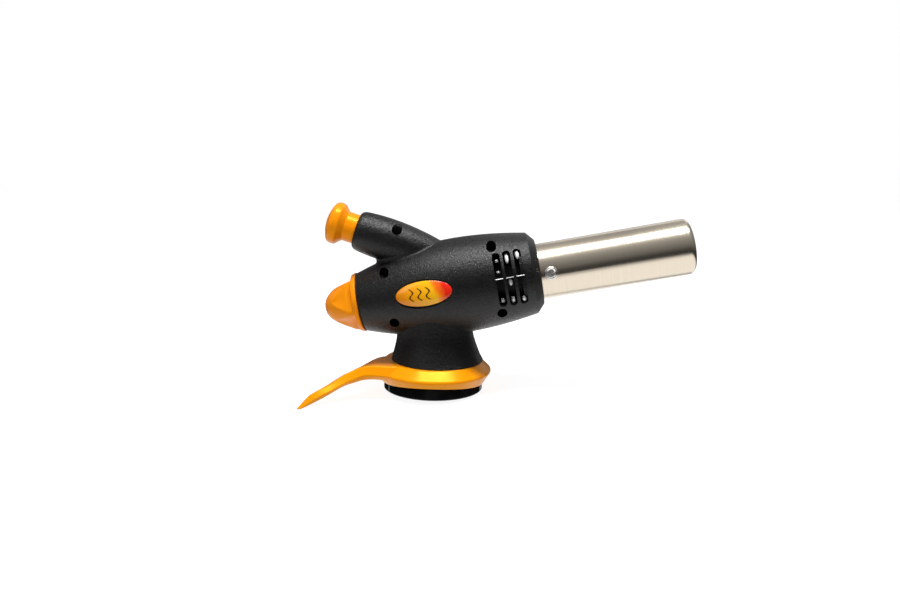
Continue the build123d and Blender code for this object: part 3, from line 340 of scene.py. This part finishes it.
ORANGE = (0.90, 0.27, 0.003)
LEVER_ORANGE = (0.94, 0.31, 0.002)
finishes = {
    "housing_black": grained_plastic("housing_black", (0.005, 0.005, 0.005), 0.36, 0.0006, 0.00024),
    "base_gloss_black": gloss_plastic("base_gloss_black", (0.004, 0.004, 0.0045)),
    "badge_print": badge_print("badge_print"),
    "knob_orange": satin_plastic("knob_orange", ORANGE, 0.34),
    "button_orange": satin_plastic("button_orange", ORANGE, 0.30),
    "lever_orange": satin_plastic("lever_orange", LEVER_ORANGE, 0.30),
    "brushed_stainless": brushed_tube("brushed_stainless", (0.68, 0.60, 0.49), 0.24),
    "screw_steel": turned_metal("screw_steel", (0.86, 0.84, 0.80), 0.26),
    # painted shade: the collar is near-black so the inside of the vents reads dark
    "collar_dark": turned_metal("collar_dark", (0.025, 0.024, 0.023), 0.6),
    # painted glint: near-white metal for the tabs and wire behind the vents
    "painted_glint_steel": painted_glint_steel("painted_glint_steel", (0.95, 0.94, 0.92), 0.38),
    "screw_black": turned_metal("screw_black", (0.02, 0.02, 0.02), 0.4),
    "spring_steel": turned_metal("spring_steel", (0.55, 0.55, 0.56), 0.28),
    "claw_steel": turned_metal("claw_steel", (0.52, 0.52, 0.53), 0.34),
    "electrode_wire": turned_metal("electrode_wire", (0.42, 0.36, 0.32), 0.4),
    "cast_zinc": cast_metal("cast_zinc", (0.45, 0.45, 0.46), 0.5),
    # painted shade: brass darker than real brass, so its glints inside the vents stay dim
    "brass": turned_metal("brass", (0.40, 0.29, 0.13), 0.4),
    "ceramic_white": glazed_ceramic("ceramic_white", (0.86, 0.84, 0.78)),
    "lead_rubber": soft_rubber("lead_rubber", (0.60, 0.57, 0.50)),
    "seal_rubber": soft_rubber("seal_rubber", (0.02, 0.02, 0.02)),
    "piezo_black": grained_plastic("piezo_black", (0.03, 0.03, 0.035), 0.45, 0.0005, 0.00003),
}

for part in frame["record"]["subparts"]:
    node = frame["nodes"][part["node"]]
    node.data.materials.clear()
    node.data.materials.append(finishes[part["material_slot"]])


# ---------------------------------------------------------------- replaced pieces
def smooth_step(value, start, end):
    share = min(1, max(0, (value - start) / (end - start)))
    return share * share * (3 - 2 * share)


def curve_points(points, steps):
    """Catmull-Rom samples through 2D points, with the ends included."""
    padded = [points[0], *points, points[-1]]
    samples = []
    for a, b, c, d in zip(padded, padded[1:], padded[2:], padded[3:]):
        for k in range(steps):
            t = k / steps
            samples.append(tuple(
                0.5 * (2 * q + (r - p) * t + (2 * p - 5 * q + 4 * r - s) * t ** 2
                       + (3 * q - p - 3 * r + s) * t ** 3)
                for p, q, r, s in zip(a, b, c, d)
            ))
    return samples + [points[-1]]


def add_piece(name, verts, faces, body, slot, stands_for=(), crease=radians(40), look=None):
    """A closed mesh that rides on a body, in place of the CAD nodes it stands for."""
    mesh = bpy.data.meshes.new(name)
    mesh.from_pydata(verts, [], faces)
    mesh.polygons.foreach_set("use_smooth", [True] * len(mesh.polygons))
    mesh.set_sharp_from_angle(angle=crease)
    mesh.materials.append(finishes[look or slot])
    piece = bpy.data.objects.new(name, mesh)
    bpy.context.scene.collection.objects.link(piece)
    if stands_for:
        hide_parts(*stands_for)
    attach(piece, body)
    return piece


def lathe_faces(rows, sides):
    """Faces for rows of rings that start and end in a single point."""
    def ring(row):
        return [1 + (row - 1) * sides + k for k in range(sides)]

    last = 1 + (rows - 2) * sides
    faces = [(0, *pair) for pair in zip(ring(1)[1:] + ring(1)[:1], ring(1))]
    for row in range(1, rows - 2):
        inner, outer = ring(row), ring(row + 1)
        for k in range(sides):
            following = (k + 1) % sides
            faces.append((inner[k], inner[following], outer[following], outer[k]))
    end = ring(rows - 2)
    faces += [(last, end[k], end[(k + 1) % sides]) for k in range(sides)]
    return faces


# The valve knob: a bluntly pointed dome with five scooped finger grips behind its rim.
KNOB_INSIDE = [  # station along the body axis and radius, in millimetres
    (-50.3, 0), (-50.3, 3.0), (-39.1, 3.0), (-39.1, 6.0), (-45.6, 6.0), (-45.6, 11.0),
    (-39.1, 11.0),
]
KNOB_OUTSIDE = [
    (-39.1, 15.2), (-39.5, 15.55), (-41.5, 15.0), (-44.6, 13.9), (-47.6, 12.1), (-51.0, 10.0),
    (-53.9, 8.15), (-56.3, 6.0), (-57.7, 3.8), (-58.3, 1.6), (-58.4, 0),
]
SCOOPS = 5
SCOOP_CENTRE = radians(22)
SCOOP_WALL = -41.4
SCOOP_LENGTH = 12.0
SCOOP_DEPTH = 3.4
SCOOP_HALF_ANGLE = radians(34)
SCOOP_TAPER = 2.2            # how blunt a grip's far end is
SCOOP_LIP = 0.06             # share of a grip's length taken by its wall
SCOOP_SOFTNESS = 0.05        # rounds the edges of a grip
OUTSIDE_STEPS = 8
KNOB_SIDES = 180


def scoop_depth(station, angle):
    """How far the finger grips go below the knob's dome, in millimetres."""
    share = (SCOOP_WALL - station) / SCOOP_LENGTH
    if not 0 < share < 1:
        return 0
    spacing = 2 * pi / SCOOPS
    off = (angle - SCOOP_CENTRE + spacing / 2) % spacing - spacing / 2
    width = SCOOP_HALF_ANGLE * (1 - share ** SCOOP_TAPER)
    bowl = 1 - min(4, (off / width) ** 2)
    wall = smooth_step(share, 0, SCOOP_LIP)
    rounded = (bowl + (bowl * bowl + SCOOP_SOFTNESS) ** 0.5) / 2
    return SCOOP_DEPTH * (1 - share) * wall * rounded


def make_knob():
    outside = curve_points(KNOB_OUTSIDE, OUTSIDE_STEPS)[:-1]
    rows = KNOB_INSIDE[1:] + outside
    verts = [body_point(KNOB_INSIDE[0][0] * MM, 0, 0)]
    for index, (station, radius) in enumerate(rows):
        for k in range(KNOB_SIDES):
            angle = 2 * pi * k / KNOB_SIDES
            scooped = radius
            if index >= len(KNOB_INSIDE) - 1:
                scooped -= scoop_depth(station, angle)
            verts.append(body_point(
                station * MM, -cos(angle) * scooped * MM, sin(angle) * scooped * MM
            ))
    verts.append(body_point(KNOB_OUTSIDE[-1][0] * MM, 0, 0))
    faces = lathe_faces(len(rows) + 2, KNOB_SIDES)
    add_piece("knob_scooped", verts, faces, "gas_knob", "knob_orange", ["valve_knob"])


# The badge: a low printed dome, sunk a little into the right flank.
BADGE_RINGS = [  # share of the oval's size, height above the flank in millimetres
    (1.0, -0.7), (1.0, -0.2), (0.985, -0.06), (0.95, 0.04), (0.88, 0.15), (0.75, 0.25),
    (0.55, 0.32), (0.3, 0.36),
]
BADGE_CROWN = 0.37
BADGE_SIDES = 96
FLANK_RADII = ((-0.014, 0.0220), (0.0, 0.0242), (0.012, 0.0248))


def flank_radius(along):
    """The body's radius near the badge: a parabola through three known sections."""
    total = 0
    for index, (place, radius) in enumerate(FLANK_RADII):
        share = 1
        for other, (elsewhere, _) in enumerate(FLANK_RADII):
            if other != index:
                share *= (along - elsewhere) / (place - elsewhere)
        total += radius * share
    return total


def badge_point(u, v, height):
    along, up = BADGE_STATION + u, BADGE_RISE + v
    radius = flank_radius(along) + height
    return body_point(along, -(radius * radius - up * up) ** 0.5, up)


def make_badge():
    verts = [badge_point(0, 0, BADGE_RINGS[0][1] * MM)]
    for share, height in BADGE_RINGS:
        for k in range(BADGE_SIDES):
            angle = 2 * pi * k / BADGE_SIDES
            u = cos(angle) * BADGE_HALF_LENGTH * share
            v = sin(angle) * BADGE_HALF_HEIGHT * share
            verts.append(badge_point(u, v, height * MM))
    verts.append(badge_point(0, 0, BADGE_CROWN * MM))
    faces = lathe_faces(len(BADGE_RINGS) + 2, BADGE_SIDES)
    add_piece("badge_dome", verts, faces, "torch_body", "badge_print", ["badge"])


def body_direction_at(rise, side):
    """Outwards from the body axis at an angle above the flank on that side."""
    return Vector((0, side * cos(rise), 0)) + BODY_UP * sin(rise)


# The two screws that hold the flame tube: a round head with a rolled rim and a cross recess.
TUBE_SCREW_STATION = 0.0598
TUBE_SCREW_RISE = radians(1.9)
TUBE_RADIUS = 0.0143
SCREW_SIDES = 72
SCREW_RINGS = [  # radius and height above the tube, in millimetres
    (1.5, -1.2), (3.3, -0.5), (3.3, 0.6), (3.22, 0.95), (3.0, 1.2), (2.7, 1.28), (2.4, 1.22),
    (2.2, 1.1), (2.1, 1.02), (1.9, 1.0), (1.7, 1.0), (1.5, 1.0), (1.3, 1.0), (1.1, 1.0),
    (0.9, 1.0), (0.7, 1.0), (0.5, 1.0), (0.3, 1.0),
]
HEAD_FLAT = 1.0              # height of the head's flat inside its rolled rim
FLAT_FROM = 5                # the first ring that the cross recess can lower
RECESS_REACH = 1.95
RECESS_HALF_WIDTH = 0.42
RECESS_DEPTH = 0.75
RECESS_SIDE_SLOPE = 0.12
RECESS_END_SLOPE = 0.3
RECESS_TURN = radians(20)


def recess_depth(x, y):
    """Depth of the cross recess at a point of the head, with tapered walls."""
    arm = max(abs(x), abs(y))
    across = min(abs(x), abs(y))
    low, high = (RECESS_HALF_WIDTH + sign * RECESS_SIDE_SLOPE for sign in (-1, 1))
    side = 1 - smooth_step(across, low, high)
    end = 1 - smooth_step(arm, RECESS_REACH - RECESS_END_SLOPE, RECESS_REACH)
    return RECESS_DEPTH * side * end


def make_tube_screw(name, outward):
    seat = body_point(TUBE_SCREW_STATION, 0, 0) + outward * TUBE_RADIUS
    first = BODY_AXIS * cos(RECESS_TURN) + outward.cross(BODY_AXIS) * sin(RECESS_TURN)
    second = outward.cross(first)
    verts = [seat + outward * SCREW_RINGS[0][1] * MM]
    for index, (radius, height) in enumerate(SCREW_RINGS):
        for k in range(SCREW_SIDES):
            angle = 2 * pi * k / SCREW_SIDES
            x, y = radius * cos(angle), radius * sin(angle)
            sunk = height - (recess_depth(x, y) if index >= FLAT_FROM else 0)
            verts.append(seat + (first * x + second * y + outward * sunk) * MM)
    verts.append(seat + outward * (HEAD_FLAT - RECESS_DEPTH) * MM)
    faces = lathe_faces(len(SCREW_RINGS) + 2, SCREW_SIDES)
    return add_piece(name, verts, faces, "torch_body", "screw_steel")


def make_tube_screws():
    outward = body_direction_at(TUBE_SCREW_RISE, -1)
    right = make_tube_screw("tube_screw_right", outward)
    make_tube_screw("tube_screw_left", -outward)
    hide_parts("flame_tube_screws")


# Small bright tabs behind the vents, outside the air collar, and a bright wire across the slots are
# painted glints: pieces that stand where glints of light show through the vents.
VENT_STATIONS = (0.0341, 0.0393, 0.0446)
TAB_RISES = (  # vent column, rise, half height in millimetres
    (0, -25.0, 1.2), (1, -26.5, 1.5), (2, -27.5, 1.3), (0, 34.0, 0.6), (1, 35.0, 2.6),
    (2, 38.0, 2.2), (1, 0.5, 1.6), (0, 17.0, 0.5),
)
TAB_RADIUS = 0.0204
TAB_HALF_WIDTH = 1.0
TAB_STALK = 2.2              # how far a tab reaches inwards, which stops short of the collar
TAB_CROWN = 0.8
WIRE_RISE = radians(7.6)
WIRE_RADIUS = 0.00024
WIRE_ENDS = ((0.0315, 0.02362), (0.0470, 0.02152))
TAB_SIDES = 24
TAB_ROWS = 10


def make_painted_glint_pad(name, station, rise, half_height, side):
    """A small rounded pad whose inner side points at the air collar, placed as a painted glint."""
    outward = body_direction_at(radians(rise), side)
    along_slot = outward.cross(BODY_AXIS)
    centre = body_point(station, 0, 0) + outward * TAB_RADIUS
    verts = [centre - outward * TAB_STALK * MM]
    for row in range(1, TAB_ROWS):
        lift = -cos(pi * row / TAB_ROWS)
        reach = sin(pi * row / TAB_ROWS)
        for k in range(TAB_SIDES):
            angle = 2 * pi * k / TAB_SIDES
            spot = BODY_AXIS * cos(angle) * TAB_HALF_WIDTH + along_slot * sin(angle) * half_height
            depth = TAB_STALK if lift < 0 else TAB_CROWN
            verts.append(centre + (spot * reach + outward * lift * depth) * MM)
    verts.append(centre + outward * TAB_CROWN * MM)
    faces = lathe_faces(TAB_ROWS + 1, TAB_SIDES)
    add_piece(name, verts, faces, "torch_body", "screw_steel", crease=pi, look="painted_glint_steel")


def make_vent_glints():
    for side, word in ((-1, "right"), (1, "left")):
        for number, (column, rise, half_height) in enumerate(TAB_RISES):
            make_painted_glint_pad(f"vent_glint_pad_{word}_{number}", VENT_STATIONS[column], rise, half_height, side)
        # The wire is a painted highlight: a bright line standing in for the light caught by the
        # edges of the vent bridges.
        outward = body_direction_at(WIRE_RISE, side)
        start, end = (body_point(along, 0, 0) + outward * radius for along, radius in WIRE_ENDS)
        way = (end - start).normalized()
        first = way.orthogonal().normalized()
        second = way.cross(first)
        verts = [start]
        for middle in (start, end):
            for k in range(TAB_SIDES):
                angle = 2 * pi * k / TAB_SIDES
                verts.append(middle + (first * cos(angle) + second * sin(angle)) * WIRE_RADIUS)
        verts.append(end)
        faces = lathe_faces(4, TAB_SIDES)
        name = f"vent_glint_wire_{word}"
        add_piece(name, verts, faces, "torch_body", "screw_steel", look="painted_glint_steel")


# The air collar: the CAD sleeve, run further back so that it closes the rearmost vents; its
# near-black colour is painted shade that keeps the inside of the vents dark.
COLLAR_RADII = (0.0144, 0.0150)
COLLAR_REAR = 0.0312
COLLAR_FRONT = 0.0467
COLLAR_NOTCH_END = 0.0368    # the lower screw boss passes through a notch in its rear edge
COLLAR_NOTCH_HALF_ANGLE = radians(45)
COLLAR_SIDES = 128


def make_collar():
    verts = []
    for k in range(COLLAR_SIDES):
        angle = 2 * pi * k / COLLAR_SIDES        # from straight down
        notched = min(angle, 2 * pi - angle) < COLLAR_NOTCH_HALF_ANGLE
        rear = COLLAR_NOTCH_END if notched else COLLAR_REAR
        inner, outer = COLLAR_RADII
        front = COLLAR_FRONT
        for along, radius in ((rear, inner), (rear, outer), (front, outer), (front, inner)):
            verts.append(body_point(along, sin(angle) * radius, -cos(angle) * radius))
    faces = []
    for k in range(COLLAR_SIDES):
        here, following = 4 * k, 4 * ((k + 1) % COLLAR_SIDES)
        for corner in range(4):
            beyond = (corner + 1) % 4
            faces.append((here + corner, following + corner, following + beyond, here + beyond))
    add_piece("collar_sleeve", verts, faces, "torch_body", "collar_dark", ["air_collar"])


# The igniter's return spring: the CAD coil's shape.
SPRING_START = 0.0039
SPRING_LENGTH = 0.0193
SPRING_TURNS = 8
SPRING_RADIUS = 0.0033
SPRING_WIRE = 0.00035
SPRING_STEPS = 32            # rings of the wire in one turn
WIRE_SIDES = 10


def make_spring():
    side = Vector((0, 1, 0))
    upward = POD_AXIS.cross(side)
    start = POD_MOUTH + POD_AXIS * SPRING_START
    climb = SPRING_LENGTH / (2 * pi * SPRING_TURNS)
    rings = []
    for step in range(SPRING_TURNS * SPRING_STEPS + 1):
        angle = 2 * pi * step / SPRING_STEPS
        outward = side * cos(angle) + upward * sin(angle)
        round_coil = (upward * cos(angle) - side * sin(angle)) * SPRING_RADIUS
        way = (round_coil + POD_AXIS * climb).normalized()
        middle = start + POD_AXIS * climb * angle + outward * SPRING_RADIUS
        rings.append((middle, outward, way.cross(outward)))
    verts = [rings[0][0]]
    for middle, first, second in rings:
        for k in range(WIRE_SIDES):
            angle = 2 * pi * k / WIRE_SIDES
            verts.append(middle + (first * cos(angle) + second * sin(angle)) * SPRING_WIRE)
    verts.append(rings[-1][0])
    faces = lathe_faces(len(rings) + 2, WIRE_SIDES)
    coil = add_piece("spring_coil", verts, faces, "torch_body", "spring_steel", ["igniter_spring"])
    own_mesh(coil)


make_knob()
make_collar()
make_spring()
make_badge()
make_tube_screws()
make_vent_glints()


# ---------------------------------------------------------------- studio
def flat_material(name, color, roughness):
    finish = Finish(name, color, roughness)
    finish.vary_roughness(finish.noise(scale=6), spread=0.03)
    return finish.material


def rest_plane():
    """The floor leans: the torch rests on its lever's tip and the far edge of its base ring."""
    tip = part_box("lock_lever")[0]
    heading = Vector((tip.x, tip.y, 0)).normalized()
    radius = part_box("base_ring")[1].x
    edge = -heading * radius
    lean = atan2(-tip.z, (tip - edge).xy.length)
    across = heading.cross(Vector((0, 0, 1)))
    return Matrix.Translation(edge) @ Matrix.Rotation(-lean, 4, across)


def disc(name, inner, outer, place, sides=96):
    """A flat ring or disc of floor."""
    points = [Vector((cos(2 * pi * k / sides), sin(2 * pi * k / sides), 0)) for k in range(sides)]
    verts = [p * outer for p in points]
    if inner:
        verts += [p * inner for p in points]
        faces = [(k, (k + 1) % sides, sides + (k + 1) % sides, sides + k) for k in range(sides)]
    else:
        faces = [tuple(range(sides))]
    mesh = bpy.data.meshes.new(name)
    mesh.from_pydata(verts, [], faces)
    made = bpy.data.objects.new(name, mesh)
    made.matrix_world = place
    bpy.context.scene.collection.objects.link(made)
    return made


def softbox(name, place, target, size, power):
    light = bpy.data.lights.new(name, "AREA")
    light.shape = "RECTANGLE"
    light.size, light.size_y = size
    light.energy = power
    made = bpy.data.objects.new(name, light)
    made.location = place
    made.rotation_euler = (Vector(target) - Vector(place)).to_track_quat("-Z", "Y").to_euler()
    bpy.context.scene.collection.objects.link(made)


def grey_ramp(tree, share, stops):
    """A grey for each height of the direction, from -1 to 1."""
    ramp = tree.nodes.new("ShaderNodeValToRGB")
    while len(ramp.color_ramp.elements) < len(stops):
        ramp.color_ramp.elements.new(0.5)
    for element, (direction, grey) in zip(ramp.color_ramp.elements, stops):
        element.position = (direction + 1) / 2
        element.color = (grey, grey, grey, 1)
    tree.links.new(share, ramp.inputs["Fac"])
    return ramp.outputs["Color"]


def room(stops, ambient, strips):
    """The world: a white backdrop, a soft ambient light, and grey walls in reflections.

    stops are (height of the direction from -1 to 1, grey) for what the reflections see,
    ambient is the same for the soft light, and strips are (azimuth from +Y towards +X,
    half width) of upright light lines in the reflections.
    """
    world = bpy.data.worlds.new("studio")
    bpy.context.scene.world = world
    world.use_nodes = True
    tree = world.node_tree
    white = tree.nodes["Background"]
    white.inputs["Color"].default_value = (1, 1, 1, 1)
    height = tree.nodes.new("ShaderNodeSeparateXYZ")
    tree.links.new(tree.nodes.new("ShaderNodeTexCoord").outputs["Generated"], height.inputs[0])
    share = tree.nodes.new("ShaderNodeMapRange")
    share.inputs["From Min"].default_value = -1
    tree.links.new(height.outputs["Z"], share.inputs["Value"])
    walls = tree.nodes.new("ShaderNodeBackground")
    walls.inputs["Strength"].default_value = WALL_BRIGHTNESS
    azimuth = tree.nodes.new("ShaderNodeMath")
    azimuth.operation = "ARCTAN2"
    tree.links.new(height.outputs["X"], azimuth.inputs[0])
    tree.links.new(height.outputs["Y"], azimuth.inputs[1])
    color = grey_ramp(tree, share.outputs["Result"], stops)
    for place, half_width in strips:
        strip = tree.nodes.new("ShaderNodeMath")
        strip.operation = "COMPARE"
        strip.inputs[1].default_value = place
        strip.inputs[2].default_value = half_width
        tree.links.new(azimuth.outputs[0], strip.inputs[0])
        lighter = tree.nodes.new("ShaderNodeMixRGB")
        lighter.inputs["Color2"].default_value = (*LIGHT_LINE_GREY, 1)
        tree.links.new(strip.outputs[0], lighter.inputs["Fac"])
        tree.links.new(color, lighter.inputs["Color1"])
        color = lighter.outputs["Color"]
    tree.links.new(color, walls.inputs["Color"])
    fill = tree.nodes.new("ShaderNodeBackground")
    tree.links.new(grey_ramp(tree, share.outputs["Result"], ambient), fill.inputs["Color"])
    path = tree.nodes.new("ShaderNodeLightPath")
    unseen = tree.nodes.new("ShaderNodeMixShader")
    tree.links.new(path.outputs["Is Glossy Ray"], unseen.inputs["Fac"])
    tree.links.new(fill.outputs[0], unseen.inputs[1])
    tree.links.new(walls.outputs[0], unseen.inputs[2])
    seen = tree.nodes.new("ShaderNodeMixShader")
    tree.links.new(path.outputs["Is Camera Ray"], seen.inputs["Fac"])
    tree.links.new(unseen.outputs[0], seen.inputs[1])
    tree.links.new(white.outputs[0], seen.inputs[2])
    tree.links.new(seen.outputs[0], tree.nodes["World Output"].inputs["Surface"])


FLOOR_GREY = (0.30, 0.30, 0.30)
FLOOR_GLOW = 0.88
NEAR_FLOOR_RADIUS = 0.26
FAR_FLOOR_RADIUS = 4.0
floor_place = rest_plane()
floor_finish = flat_material("floor_white", FLOOR_GREY, 0.85)
floor_shader = floor_finish.node_tree.nodes["Principled BSDF"]
floor_shader.inputs["Emission Color"].default_value = (1, 1, 1, 1)
floor_shader.inputs["Emission Strength"].default_value = FLOOR_GLOW
near_floor = disc("floor_near", 0, NEAR_FLOOR_RADIUS, floor_place)
far_floor = disc("floor_far", NEAR_FLOOR_RADIUS, FAR_FLOOR_RADIUS, floor_place)
for piece in (near_floor, far_floor):
    piece.visible_glossy = False
    piece.visible_diffuse = False
    piece.data.materials.append(floor_finish)
LIGHT_LINES = [(radians(-58), radians(3)), (radians(28), radians(6))]
LIGHT_LINE_GREY = (0.36, 0.36, 0.36)
WALL_BRIGHTNESS = 1.4
REFLECTED_GREYS = [
    (-1.0, 0.93), (-0.45, 0.93), (-0.31, 0.008), (-0.15, 0.015), (0.0, 0.05), (0.17, 0.11),
    (0.84, 0.30),
]
SOFT_LIGHT = [(-1.0, 0.85), (-0.2, 0.80), (0.2, 0.34), (1.0, 0.32)]
room(REFLECTED_GREYS, SOFT_LIGHT, LIGHT_LINES)
softbox("overhead", (0.05, -0.14, 0.75), (0.04, 0, 0.05), (0.60, 0.12), 7.5)
softbox("front_left", (-0.65, -0.65, 0.45), (0, 0, 0.05), (0.3, 0.5), 0.8)
softbox("behind", (0.3, 0.8, 0.5), (0, 0, 0.05), (0.6, 0.4), 0.5)

# ---------------------------------------------------------------- camera
camera = bpy.data.objects.new("camera", bpy.data.cameras.new("camera"))
camera.data.lens = CAMERA_LENS
camera.data.sensor_width = CAMERA_SENSOR_WIDTH
camera.matrix_world = (
    Matrix.Translation(CAMERA_PLACE)
    @ Matrix.Rotation(CAMERA_HEADING, 4, "Z")
    @ Matrix.Rotation(pi / 2 - CAMERA_ELEVATION, 4, "X")
    @ Matrix.Rotation(CAMERA_ROLL, 4, "Z")
)
bpy.context.scene.collection.objects.link(camera)
bpy.context.scene.camera = camera
bpy.context.scene.view_settings.view_transform = "Standard"
